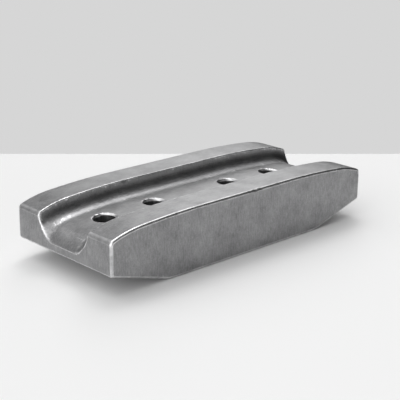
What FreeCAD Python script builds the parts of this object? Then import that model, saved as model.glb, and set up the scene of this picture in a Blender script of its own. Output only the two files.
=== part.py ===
import FreeCAD, Part
import math
import os

# Excavator track shoe: one forged steel block, crowned along its length, with
# an open trough down the middle of its top and four bolt holes in the trough.
# Millimetres. X runs along the length, Y across, Z up. The origin is on the
# underside, at the middle of the length and the width.

# Block
shoe_length = 450.0
shoe_width = 190.0
crown_height = 84.6

# Crown of the two rails: level in the middle, a long shoulder, a tighter tip
shoulder_start = 146.0      # from the end face
shoulder_radius = 1171.0
tip_start = 44.6            # from the end face
tip_radius = 162.0
end_round = 7.0             # where the crown turns down into the end face

# Bevel under each end, which lifts it off the ground
bevel_length = 91.2
bevel_rise = 26.2
toe_round = 40.0            # underside to bevel
heel_round = 3.0            # bevel to end face

# Trough between the rails
trough_width = 102.0        # across its mouth, at the top of the crown
trough_depth = 20.0         # below the crown
wall_draft = 6.0            # degrees from upright
floor_fillet = 22.0
lip_length = 20.0           # how far in from the end face the floor rolls down
lip_height = 36.6           # height of the trough floor at the end face

# Bolt holes on the trough's centre line
hole_diameter = 28.0
hole_chamfer = 1.8
pair_spacing = 82.0         # between the two holes at one end
middle_spacing = 134.0      # between the two inner holes
pattern_offset = -11.0      # middle of the pattern from the middle of the shoe

# Edge rounds left by the die and by wear
side_round = 3.5            # all round both long sides
mouth_round = 2.0           # the trough's mouth and its two open ends

overrun = 12.0              # how far the cutting shapes pass beyond the block
touching = 0.001            # an edge nearer to a face than this lies on it

half_length = shoe_length / 2
half_width = shoe_width / 2


def vec(x, y, z):
    return FreeCAD.Vector(x, y, z)


class Path:
    """Edges joined end to end in the XZ plane, with a heading to stay tangent to."""

    def __init__(self, x, z, heading):
        self.x, self.z, self.heading = x, z, heading
        self.edges = []

    def line_to(self, x, z):
        self.edges.append(Part.makeLine(vec(self.x, 0, self.z), vec(x, 0, z)))
        self.heading = math.atan2(z - self.z, x - self.x)
        self.x, self.z = x, z

    def go_on(self, length):
        """Straight on along the heading."""
        self.line_to(self.x + length * math.cos(self.heading), self.z + length * math.sin(self.heading))

    def arc_to(self, x, z):
        """An arc that leaves along the heading and ends at x, z."""
        chord = math.hypot(x - self.x, z - self.z)
        chord_angle = math.atan2(z - self.z, x - self.x)
        half_turn = chord_angle - self.heading
        bulge = chord / 2 * math.tan(half_turn / 2)
        middle = vec(
            (self.x + x) / 2 + bulge * math.sin(chord_angle),
            0,
            (self.z + z) / 2 - bulge * math.cos(chord_angle),
        )
        self.edges.append(Part.Arc(vec(self.x, 0, self.z), middle, vec(x, 0, z)).toShape())
        self.heading += 2 * half_turn
        self.x, self.z = x, z


def crown_fall(inset):
    """How far the crown has fallen, and its slope in radians, at an inset from the end face."""
    if inset >= shoulder_start:
        return 0.0, 0.0
    if inset >= tip_start:
        slope = math.asin((shoulder_start - inset) / shoulder_radius)
        return shoulder_radius * (1 - math.cos(slope)), slope
    fall, start = crown_fall(tip_start)
    slope = math.asin(math.sin(start) + (tip_start - inset) / tip_radius)
    return fall + tip_radius * (math.cos(start) - math.cos(slope)), slope


def crown_path(depth, end_inset):
    """The crown line, lowered by a depth, from the middle of the shoe to an inset from the end face."""
    level = crown_height - depth
    path = Path(0.0, level, 0.0)
    path.line_to(half_length - shoulder_start, level)
    for inset in (tip_start, end_inset):
        path.arc_to(half_length - inset, level - crown_fall(inset)[0])
    return path


def end_round_inset():
    """How far in from the end face the end round leaves the tip arc."""
    tip_centre = tip_radius * math.sin(crown_fall(0.0)[1])
    # The two arcs are tangent, so the line through their centres passes where they meet.
    lean = (tip_centre - end_round) / (tip_radius - end_round)
    return tip_centre - tip_radius * lean


def round_corner(path, corner, beyond, radius):
    """Runs the path to a corner and round it, heading for a point beyond."""
    into = (corner - vec(path.x, 0, path.z)).normalize()
    out = (beyond - corner).normalize()
    reach = radius * math.tan(into.getAngle(out) / 2)
    start = corner - into * reach
    end = corner + out * reach
    path.line_to(start.x, start.z)
    path.arc_to(end.x, end.z)


def both_halves(path):
    """A face bounded by a path that starts and ends on the middle plane, and by its mirror image."""
    mirrored = [edge.mirror(vec(0, 0, 0), vec(1, 0, 0)) for edge in path.edges]
    return Part.Face(Part.Wire(Part.__sortEdges__(path.edges + mirrored)))


def across_width(profile):
    """An edge or face in the XZ plane, drawn out across the full width."""
    shape = profile.extrude(vec(0, shoe_width, 0))
    shape.translate(vec(0, -half_width, 0))
    return shape


def edges_between(solid, first, second):
    """Edges of a solid that lie on the faces of both of two other shapes."""
    surfaces = [Part.Compound(shape.Faces) for shape in (first, second)]
    found = []
    for edge in solid.Edges:
        middle = Part.Vertex(edge.valueAt((edge.FirstParameter + edge.LastParameter) / 2))
        if all(surface.distToShape(middle)[0] < touching for surface in surfaces):
            found.append(edge)
    return found


def block():
    """The outer block: the side outline drawn across the width, with its long edges rounded."""
    path = crown_path(0.0, end_round_inset())
    path.arc_to(half_length, path.z - end_round * math.cos(path.heading))

    heel = vec(half_length, 0, bevel_rise)
    toe = vec(half_length - bevel_length, 0, 0)
    foot = vec(0, 0, 0)
    round_corner(path, heel, toe, heel_round)
    round_corner(path, toe, foot, toe_round)
    path.line_to(foot.x, foot.z)

    solid = across_width(both_halves(path))
    side_edges = [edge for edge in solid.Edges if edge.BoundBox.YLength < touching]
    return solid.makeFillet(side_round, side_edges)


def trough():
    """The space between the rails: its floor follows the crown, then rolls down at each end."""
    path = crown_path(trough_depth, lip_length)
    path.arc_to(half_length, lip_height)
    path.go_on(overrun)
    half_floor = Part.Compound([across_width(edge) for edge in path.edges])
    floor = Part.Compound([half_floor, half_floor.mirror(vec(0, 0, 0), vec(1, 0, 0))])

    roof = crown_height + overrun
    path.heading += math.pi / 2
    path.go_on(shoe_width / 2)
    path.line_to(path.x, roof)
    path.line_to(0.0, roof)
    above_floor = across_width(both_halves(path))

    spread = math.tan(math.radians(wall_draft))
    mouth = trough_width / 2 + overrun * spread
    foot = trough_width / 2 - crown_height * spread
    reach = half_length + shoe_width
    corners = [
        vec(-reach, -foot, 0),
        vec(-reach, foot, 0),
        vec(-reach, mouth, roof),
        vec(-reach, -mouth, roof),
    ]
    between_walls = Part.Face(Part.makePolygon(corners + corners[:1])).extrude(vec(2 * reach, 0, 0))

    space = above_floor.common(between_walls)
    return space.makeFillet(floor_fillet, edges_between(space, floor, between_walls))


def bolt_holes():
    """Upright cylinders that cut the bolt holes."""
    inner = middle_spacing / 2
    outer = inner + pair_spacing
    cylinders = []
    for place in (-outer, -inner, inner, outer):
        base = vec(pattern_offset + place, 0, 0)
        cylinders.append(Part.makeCylinder(hole_diameter / 2, crown_height, base))
    return Part.Compound(cylinders)


def track_shoe():
    outside = block()
    space = trough()
    shoe = outside.cut(space)
    shoe = shoe.makeFillet(mouth_round, edges_between(shoe, outside, space))

    holes = bolt_holes()
    drilled = shoe.cut(holes)
    return drilled.makeChamfer(hole_chamfer, edges_between(drilled, shoe, holes))


os.makedirs("parts", exist_ok=True)
shoe = track_shoe()
print("valid", shoe.isValid(), "solids", len(shoe.Solids), "volume", round(shoe.Volume), "mm3")
shoe.exportStep("parts/track_shoe.step")
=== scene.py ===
import math
import bpy
import bmesh
import numpy as np
from mathutils import Matrix, Vector


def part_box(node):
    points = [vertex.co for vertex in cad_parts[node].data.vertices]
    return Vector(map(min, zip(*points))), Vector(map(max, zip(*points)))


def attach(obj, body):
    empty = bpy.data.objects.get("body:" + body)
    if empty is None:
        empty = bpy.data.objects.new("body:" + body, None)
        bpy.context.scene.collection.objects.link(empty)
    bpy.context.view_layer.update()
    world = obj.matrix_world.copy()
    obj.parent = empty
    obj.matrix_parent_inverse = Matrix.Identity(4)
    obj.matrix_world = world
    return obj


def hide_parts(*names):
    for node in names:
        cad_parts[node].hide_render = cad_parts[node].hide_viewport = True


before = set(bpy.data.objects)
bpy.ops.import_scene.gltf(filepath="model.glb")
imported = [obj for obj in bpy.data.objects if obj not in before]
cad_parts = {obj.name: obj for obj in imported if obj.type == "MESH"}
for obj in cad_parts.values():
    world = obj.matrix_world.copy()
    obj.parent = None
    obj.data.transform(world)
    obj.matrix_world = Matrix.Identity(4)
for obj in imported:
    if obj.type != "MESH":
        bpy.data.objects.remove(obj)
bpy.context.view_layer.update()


low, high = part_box("track_shoe")
mm = 0.001
print("frame loaded, shoe is", [round(v / mm, 1) for v in high - low], "mm")


def linear(hexColour):
    # sRGB hex to the linear colour that a shader takes
    parts = [int(hexColour[i:i + 2], 16) / 255 for i in (1, 3, 5)]
    return [c / 12.92 if c <= 0.04045 else ((c + 0.055) / 1.055) ** 2.4 for c in parts] + [1.0]


def addNode(tree, kind, links=None, **settings):
    # one node: settings by name, then inputs by socket, each a value, a socket or a node's first output
    node = tree.nodes.new(kind)
    for name, value in settings.items():
        setattr(node, name, value)
    for socket, source in (links or {}).items():
        if isinstance(source, bpy.types.Node):
            source = source.outputs[0]
        if isinstance(source, bpy.types.NodeSocket):
            tree.links.new(source, node.inputs[socket])
        else:
            node.inputs[socket].default_value = source
    return node


# the shoe's surface, cut into cells that wear and dents can move
skin = {
    "cell": 2.8 * mm,          # size of a cell on the flats
    "merge": 0.01 * mm,        # points nearer than this are one
    "flat": 0.03,              # degrees, the bend below which faces are joined
    "roundest": 2.0 * mm,      # a round this tight counts as a full edge
    "uneven": 0.22 * mm,       # how far the forged skin dips
    "unevenSize": 34 * mm,
    "chipDepth": 0.75 * mm,    # bites out of the edges
    "chipSize": 7 * mm,
    "chipShare": 0.40,         # 0 leaves every edge whole, 1 chips it all along
    "seed": 4.0,
}
# knocks seen on the shoe: where, in mm, how wide and how deep
knocks = [
    (-87, 50, 84, 3.6, 1.0),
    (-80, 50, 84, 2.6, 0.5),
    (3, -94, 84, 3.0, 0.7),
    (13, -94, 84, 3.8, 1.1),
    (22, -94, 84, 2.8, 0.6),
    (56, -94, 83, 2.6, 0.5),
    (-54, -51, 84, 3.0, 0.5),
    (-33, -51, 84, 2.6, 0.5),
]


def cutIntoCells(source):
    # The CAD mesh is loose triangles: merge them, join what is flat, then cut the flats into a grid.
    shape = bmesh.new()
    shape.from_mesh(source)
    bmesh.ops.remove_doubles(shape, verts=shape.verts[:], dist=skin["merge"])
    bmesh.ops.dissolve_limit(shape, angle_limit=math.radians(skin["flat"]),
                             verts=shape.verts[:], edges=shape.edges[:])
    cell = skin["cell"]
    for axis in range(3):
        across = Vector([float(i == axis) for i in range(3)])
        wide = [f for f in shape.faces if np.ptp([v.co[axis] for v in f.verts]) > cell * 1.2]
        part = list(set(wide) | {e for f in wide for e in f.edges} | {v for f in wide for v in f.verts})
        for place in np.arange(low[axis] + cell * 0.53, high[axis], cell):
            cut = bmesh.ops.bisect_plane(shape, geom=part, plane_co=across * place,
                                         plane_no=across, dist=0.001 * mm)
            part = cut["geom"]
    return shape


def edgeSharpness(shape):
    # How tightly the surface turns outwards at each point: 0 on the flats, 1 on a tight round.
    shape.verts.index_update()
    sharp = np.zeros(len(shape.verts))
    for edge in shape.edges:
        if len(edge.link_faces) == 2:
            turn = edge.calc_face_angle_signed(0.0)
            if turn > 0.02:
                area = sum(f.calc_area() for f in edge.link_faces)
                curve = turn * edge.calc_length() / max(area, 1e-12)
                for vert in edge.verts:
                    sharp[vert.index] = max(sharp[vert.index], curve)
    sharp = np.clip(sharp * skin["roundest"] * 2, 0, 1)
    soft = sharp.copy()
    for vert in shape.verts:
        near = [sharp[e.other_vert(vert).index] for e in vert.link_edges]
        if near:
            soft[vert.index] = 0.55 * sharp[vert.index] + 0.45 * sum(near) / len(near)
    return soft


def knockDepths(points):
    depth = np.zeros(len(points))
    for x, y, z, radius, deep in knocks:
        away = np.linalg.norm(points / mm - (x, y, z), axis=1)
        depth = np.maximum(depth, deep * np.clip(1 - (away / radius) ** 2, 0, 1))
    return depth * mm


def forgedSkin():
    # Geometry Nodes: sinks the surface a little where the forging is uneven, chipped or knocked.
    tree = bpy.data.node_groups.new("forgedSkin", "GeometryNodeTree")
    face = tree.interface
    face.new_socket("Geometry", in_out="INPUT", socket_type="NodeSocketGeometry")
    for name in ("Uneven", "Uneven Size", "Chip Depth", "Chip Size", "Chip Share", "Seed"):
        face.new_socket(name, in_out="INPUT", socket_type="NodeSocketFloat")
    face.new_socket("Steel", in_out="INPUT", socket_type="NodeSocketMaterial")
    face.new_socket("Geometry", in_out="OUTPUT", socket_type="NodeSocketGeometry")
    given = addNode(tree, "NodeGroupInput").outputs

    patterns = []
    for size, detail, shift in (("Uneven Size", 2.0, 0.0), ("Chip Size", 3.0, 9.0)):
        scale = addNode(tree, "ShaderNodeMath", {0: 1.0, 1: given[size]}, operation="DIVIDE")
        seed = addNode(tree, "ShaderNodeMath", {0: given["Seed"], 1: shift}, operation="ADD")
        patterns.append(addNode(tree, "ShaderNodeTexNoise", {"Scale": scale, "Detail": detail, "W": seed},
                                noise_dimensions="4D"))
    uneven, chips = patterns
    sharpness = addNode(tree, "GeometryNodeInputNamedAttribute", {"Name": "edge"}, data_type="FLOAT")
    knocked = addNode(tree, "GeometryNodeInputNamedAttribute", {"Name": "knock"}, data_type="FLOAT")

    start = addNode(tree, "ShaderNodeMath", {0: given["Chip Share"], 1: -0.5, 2: 0.75},
                    operation="MULTIPLY_ADD")
    bite = addNode(tree, "ShaderNodeMapRange", {"Value": chips, "From Min": start, "From Max": 0.8},
                   interpolation_type="SMOOTHSTEP")
    chip = addNode(tree, "ShaderNodeMath", {0: bite, 1: sharpness}, operation="MULTIPLY")
    sink = addNode(tree, "ShaderNodeMath", {0: uneven, 1: given["Uneven"], 2: knocked},
                   operation="MULTIPLY_ADD")
    sink = addNode(tree, "ShaderNodeMath", {0: chip, 1: given["Chip Depth"], 2: sink},
                   operation="MULTIPLY_ADD")
    inwards = addNode(tree, "ShaderNodeMath", {0: sink, 1: -1.0}, operation="MULTIPLY")
    normal = addNode(tree, "GeometryNodeInputNormal")
    offset = addNode(tree, "ShaderNodeVectorMath", {0: normal, "Scale": inwards}, operation="SCALE")
    moved = addNode(tree, "GeometryNodeSetPosition", {"Geometry": given["Geometry"], "Offset": offset})
    smooth = addNode(tree, "GeometryNodeSetShadeSmooth", {"Geometry": moved, "Shade Smooth": True})
    real = addNode(tree, "GeometryNodeRealizeInstances", {"Geometry": smooth})
    steel = addNode(tree, "GeometryNodeSetMaterial", {"Geometry": real, "Material": given["Steel"]})
    addNode(tree, "NodeGroupOutput", {"Geometry": steel})
    return tree


def plainMesh(piece, name):
    # the piece with its modifiers worked in, as a mesh of its own
    bpy.context.view_layer.update()
    seen = piece.evaluated_get(bpy.context.evaluated_depsgraph_get())
    mesh = bpy.data.meshes.new_from_object(seen)
    mesh.name = name
    piece.modifiers.clear()
    piece.data = mesh


def wornShoe(steel):
    shape = cutIntoCells(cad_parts["track_shoe"].data)
    sharp = edgeSharpness(shape)
    mesh = bpy.data.meshes.new("wornShoe")
    shape.to_mesh(mesh)
    shape.free()
    points = np.empty(len(mesh.vertices) * 3)
    mesh.vertices.foreach_get("co", points)
    mesh.attributes.new("edge", "FLOAT", "POINT").data.foreach_set("value", sharp)
    knocked = knockDepths(points.reshape(-1, 3))
    mesh.attributes.new("knock", "FLOAT", "POINT").data.foreach_set("value", knocked)
    piece = bpy.data.objects.new("wornShoe", mesh)
    bpy.context.scene.collection.objects.link(piece)
    print("shoe cut into", len(mesh.polygons), "cells")

    skinned = piece.modifiers.new("skin", "NODES")
    skinned.node_group = forgedSkin()
    sockets = {item.name: item.identifier for item in skinned.node_group.interface.items_tree
               if item.item_type == "SOCKET" and item.in_out == "INPUT"}
    for name, value in (("Uneven", skin["uneven"]), ("Uneven Size", skin["unevenSize"]),
                        ("Chip Depth", skin["chipDepth"]), ("Chip Size", skin["chipSize"]),
                        ("Chip Share", skin["chipShare"]), ("Seed", skin["seed"]), ("Steel", steel)):
        skinned[sockets[name]] = value
    weighted = piece.modifiers.new("weighted", "WEIGHTED_NORMAL")
    weighted.mode = "FACE_AREA"
    plainMesh(piece, "wornShoe")
    print("forged skin worked in,", sum(len(p.vertices) - 2 for p in piece.data.polygons), "triangles")
    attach(piece, "root")
    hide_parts("track_shoe")


def forgedSteel():
    # Die-forged low-alloy steel, blasted clean and left bare: an even mid grey with a dull sheen,
    # drawn with short upright streaks on its sides, and lighter on its tight edges, partly metal rubbed
    # bright and partly a painted highlight for the glints those edges catch.
    steel = {
        "body": "#b2b2b3",          # the blasted skin
        "dull": "#626263",          # its darker clouds and pits
        "bright": "#dededf",        # metal rubbed clean at the edges, partly a painted highlight on them
        "roughness": 0.36,
        "roughSwing": 0.25,         # how much the pattern changes the roughness
        "rubbedSmoother": 0.08,     # how much smoother a rubbed edge is
        "streakWidth": 1.9 * mm,    # the real streaks are finer: as coarse as it takes to show
        "streakLength": 10 * mm,
        "streakStrength": 0.75,
        "grit": 1.6 * mm,
        "gritStrength": 0.65,
        "cloud": 26 * mm,
        "cloudTones": (0.36, 0.64),
        "patch": 9 * mm,            # the size of the gaps in the rubbed, painted-highlight edges
        "patchLeast": 0.35,         # how much of the rub and painted highlight the gaps still keep
        "rubAndHighlightFrom": 0.12, "rubAndHighlightFull": 0.7,     # edge sharpness where the rubbing and painted highlight start and are full
        "uprightUp": 0.45, "levelFrom": 0.8,     # how level a face is where the streaks turn
        "bump": 0.10 * mm,
    }
    material = bpy.data.materials.new("forgedSteelBlasted")
    material.use_nodes = True
    tree = material.node_tree
    shader = tree.nodes["Principled BSDF"]
    shader.inputs["Metallic"].default_value = 1.0

    place = addNode(tree, "ShaderNodeTexCoord").outputs["Object"]
    noises = {}
    for name, detail, roughness in (("grit", 3.0, 0.65), ("cloud", 3.0, 0.6), ("patch", 4.0, 0.5)):
        noises[name] = addNode(tree, "ShaderNodeTexNoise", {
            "Vector": place, "Scale": 1 / steel[name], "Detail": detail, "Roughness": roughness})
    streaks = []
    for long in (2, 0):    # upright on the sides, lengthwise on level faces
        scale = [1 / steel["streakWidth"]] * 3
        scale[long] = 1 / steel["streakLength"]
        stretched = addNode(tree, "ShaderNodeMapping", {"Vector": place, "Scale": scale})
        streaks.append(addNode(tree, "ShaderNodeTexNoise", {
            "Vector": stretched, "Scale": 1.0, "Detail": 3.0, "Roughness": 0.6}))

    normal = addNode(tree, "ShaderNodeNewGeometry").outputs["Normal"]
    facing = addNode(tree, "ShaderNodeSeparateXYZ", {0: normal}).outputs["Z"]
    level = addNode(tree, "ShaderNodeMath", {0: facing}, operation="ABSOLUTE")
    level = addNode(tree, "ShaderNodeMapRange", {
        "Value": level, "From Min": steel["uprightUp"], "From Max": steel["levelFrom"]})
    drawn = addNode(tree, "ShaderNodeMix", {0: level, 2: streaks[0], 3: streaks[1]}, data_type="FLOAT")

    # streaks and grit, both about zero
    middle = -0.5 * (steel["streakStrength"] + steel["gritStrength"])
    pattern = addNode(tree, "ShaderNodeMath", {0: drawn, 1: steel["streakStrength"], 2: middle},
                      operation="MULTIPLY_ADD")
    pattern = addNode(tree, "ShaderNodeMath", {0: noises["grit"], 1: steel["gritStrength"], 2: pattern},
                      operation="MULTIPLY_ADD")
    clouds = addNode(tree, "ShaderNodeMapRange", {
        "Value": noises["cloud"], "From Min": 0.3, "From Max": 0.7,
        "To Min": steel["cloudTones"][0], "To Max": steel["cloudTones"][1]})
    tone = addNode(tree, "ShaderNodeMath", {0: pattern, 1: clouds}, operation="ADD", use_clamp=True)
    body = addNode(tree, "ShaderNodeMix", {0: tone, 6: linear(steel["dull"]), 7: linear(steel["body"])},
                   data_type="RGBA").outputs[2]

    edge = addNode(tree, "ShaderNodeAttribute", attribute_name="edge").outputs["Fac"]
    edge = addNode(tree, "ShaderNodeMapRange", {
        "Value": edge, "From Min": steel["rubAndHighlightFrom"], "From Max": steel["rubAndHighlightFull"]})
    patchy = addNode(tree, "ShaderNodeMapRange", {
        "Value": noises["patch"], "From Min": 0.3, "From Max": 0.55, "To Min": steel["patchLeast"]})
    # painted highlight: tight edges are mixed towards a lighter colour, partly real rubbed metal, partly
    # standing in for the glints they catch
    wearAndHighlight = addNode(tree, "ShaderNodeMath", {0: edge, 1: patchy}, operation="MULTIPLY", use_clamp=True)
    colour = addNode(tree, "ShaderNodeMix", {0: wearAndHighlight, 6: body, 7: linear(steel["bright"])},
                     data_type="RGBA").outputs[2]

    rough = addNode(tree, "ShaderNodeMath", {0: pattern, 1: steel["roughSwing"], 2: steel["roughness"]},
                    operation="MULTIPLY_ADD")
    rough = addNode(tree, "ShaderNodeMath", {0: wearAndHighlight, 1: -steel["rubbedSmoother"], 2: rough},
                    operation="MULTIPLY_ADD")
    bump = addNode(tree, "ShaderNodeBump", {"Height": pattern, "Distance": steel["bump"], "Strength": 1.0})
    for socket, source in (("Base Color", colour), ("Roughness", rough.outputs[0]),
                           ("Normal", bump.outputs[0])):
        tree.links.new(source, shader.inputs[socket])
    return material


wornShoe(forgedSteel())
print("steel on the shoe")


studioSet = {
    "tableColour": "#f1f1f1",
    "surroundColour": "#d6d6d6",    # what is seen past the table
    "edgeAngle": -41.66,            # degrees, the way the table's back edge runs
    "edgeOffset": 0.4105,           # metres from the middle of the shoe to that edge
    "tableReach": 6.0,
    # soft panels round the shoe: elevation and azimuth in degrees, tightness, strength
    "panels": [
        (12, 160, 10, 0.95), (12, 200, 10, 1.02), (12, 240, 10, 0.40), (38, 112, 10, 0.49),
        (38, 202, 10, 1.04), (64, 90, 10, 1.11), (64, 180, 10, 0.62), (90, 0, 10, 0.50),
        (-12, 180, 10, 0.98), (-12, 240, 10, 0.53), (-12, 300, 10, 1.24), (-12, 60, 10, 0.23),
        (32.4, 40, 60, 1.91), (43.5, 27, 60, 0.84), (18.5, 47, 60, 1.05), (60, 45, 60, 5.41),
    ],
    "level": 1.12,
}


def table():
    turn = math.radians(studioSet["edgeAngle"])
    along = Vector((math.cos(turn), math.sin(turn), 0))
    away = Vector((-along.y, along.x, 0))
    back = away * studioSet["edgeOffset"]
    reach = studioSet["tableReach"]
    corners = [back - along * reach, back - along * reach - away * 2 * reach,
               back + along * reach - away * 2 * reach, back + along * reach]
    mesh = bpy.data.meshes.new("table")
    mesh.from_pydata([tuple(c) for c in corners], [], [(0, 1, 2, 3)])
    board = bpy.data.objects.new("table", mesh)
    bpy.context.scene.collection.objects.link(board)
    paint = bpy.data.materials.new("tableWhite")
    paint.use_nodes = True
    shader = paint.node_tree.nodes["Principled BSDF"]
    shader.inputs["Base Color"].default_value = linear(studioSet["tableColour"])
    shader.inputs["Roughness"].default_value = 0.6
    board.data.materials.append(paint)


def surround():
    # The world is the studio: soft panels that light the shoe, and a plain grey seen past the table.
    world = bpy.data.worlds.new("studio")
    world.use_nodes = True
    tree = world.node_tree
    tree.nodes.clear()
    way = addNode(tree, "ShaderNodeTexCoord").outputs["Generated"]
    total = None
    for elevation, azimuth, tightness, strength in studioSet["panels"]:
        e, a = math.radians(elevation), math.radians(azimuth)
        towards = (math.cos(e) * math.cos(a), math.cos(e) * math.sin(a), math.sin(e))
        near = addNode(tree, "ShaderNodeVectorMath", {0: way, 1: towards}, operation="DOT_PRODUCT")
        fall = addNode(tree, "ShaderNodeMath", {0: near.outputs["Value"], 1: tightness, 2: -tightness},
                       operation="MULTIPLY_ADD")
        glow = addNode(tree, "ShaderNodeMath", {0: fall}, operation="EXPONENT")
        glow = addNode(tree, "ShaderNodeMath", {0: glow, 1: strength * studioSet["level"]},
                       operation="MULTIPLY")
        total = glow if total is None else addNode(tree, "ShaderNodeMath", {0: total, 1: glow})
    panels = addNode(tree, "ShaderNodeBackground", {"Color": (1, 1, 1, 1), "Strength": total})
    plain = addNode(tree, "ShaderNodeBackground", {
        "Color": linear(studioSet["surroundColour"]), "Strength": 1.0})
    seen = addNode(tree, "ShaderNodeLightPath").outputs["Is Camera Ray"]
    both = addNode(tree, "ShaderNodeMixShader", {0: seen, 1: panels, 2: plain})
    addNode(tree, "ShaderNodeOutputWorld", {"Surface": both})
    bpy.context.scene.world = world


def placeCamera():
    view = {
        "place": (-0.93034, -0.99790, 0.49533),
        "yaw": 46.912, "pitch": 18.077, "roll": 0.384,   # degrees
        "lens": 95.63, "sensor": 36.0,                   # mm
    }
    yaw, pitch, roll = (math.radians(view[k]) for k in ("yaw", "pitch", "roll"))
    forward = Vector((math.cos(yaw) * math.cos(pitch), math.sin(yaw) * math.cos(pitch),
                      -math.sin(pitch)))
    right = Vector((math.sin(yaw), -math.cos(yaw), 0))
    up = right.cross(forward)
    side = right * math.cos(roll) + up * math.sin(roll)
    top = up * math.cos(roll) - right * math.sin(roll)
    eye = bpy.data.objects.new("camera", bpy.data.cameras.new("camera"))
    bpy.context.scene.collection.objects.link(eye)
    eye.data.lens, eye.data.sensor_width = view["lens"], view["sensor"]
    turned = Matrix((side, top, -forward)).transposed().to_4x4()
    eye.matrix_world = Matrix.Translation(view["place"]) @ turned
    bpy.context.scene.camera = eye


table()
surround()
placeCamera()
bpy.context.scene.view_settings.view_transform = "Standard"
print("table, surround and camera set")
